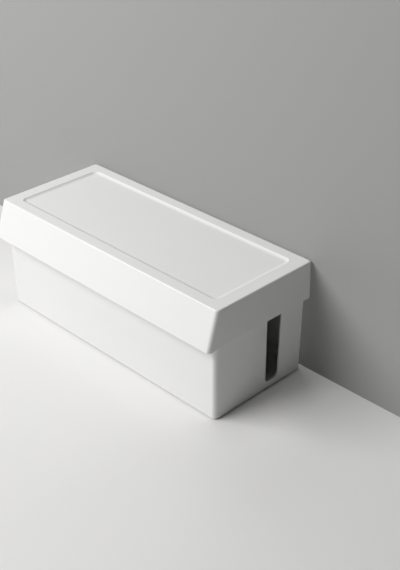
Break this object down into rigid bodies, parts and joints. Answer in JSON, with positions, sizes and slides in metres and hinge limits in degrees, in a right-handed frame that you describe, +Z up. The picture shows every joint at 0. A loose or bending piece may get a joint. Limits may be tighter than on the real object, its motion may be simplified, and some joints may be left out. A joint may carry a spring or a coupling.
{
  "type": "cable management box",
  "caption": "White moulded box that hides a power strip and its spare cord, with cord slots in its ends and a lift-off lid with a shallow tray on top.",
  "frame": {"origin": "on the surface that the box stands on, under the middle of its outline", "axes": "+X along the box's length to its right end, -Y to the front with the leaning skirt, +Z up"},
  "size_m": [0.3166, 0.141, 0.1237],
  "materials": {
    "tub_plastic": "white injection-moulded plastic, polished mould, light satin gloss",
    "lid_plastic": "white injection-moulded plastic, polished mould, light satin gloss",
    "foot_rubber": "soft grey anti-slip rubber, matt"
  },
  "bodies": {
    "box": {"tub": "tub_plastic", "foot_front_left": "foot_rubber", "foot_front_right": "foot_rubber", "foot_back_left": "foot_rubber", "foot_back_right": "foot_rubber"},
    "cover": {"lid": "lid_plastic"}
  },
  "joints": [
    {"name": "lid_lift", "type": "slide", "parent": "box", "child": "cover", "axis": [0, 0, 1], "range_m": [0, 0.08]}
  ]
}
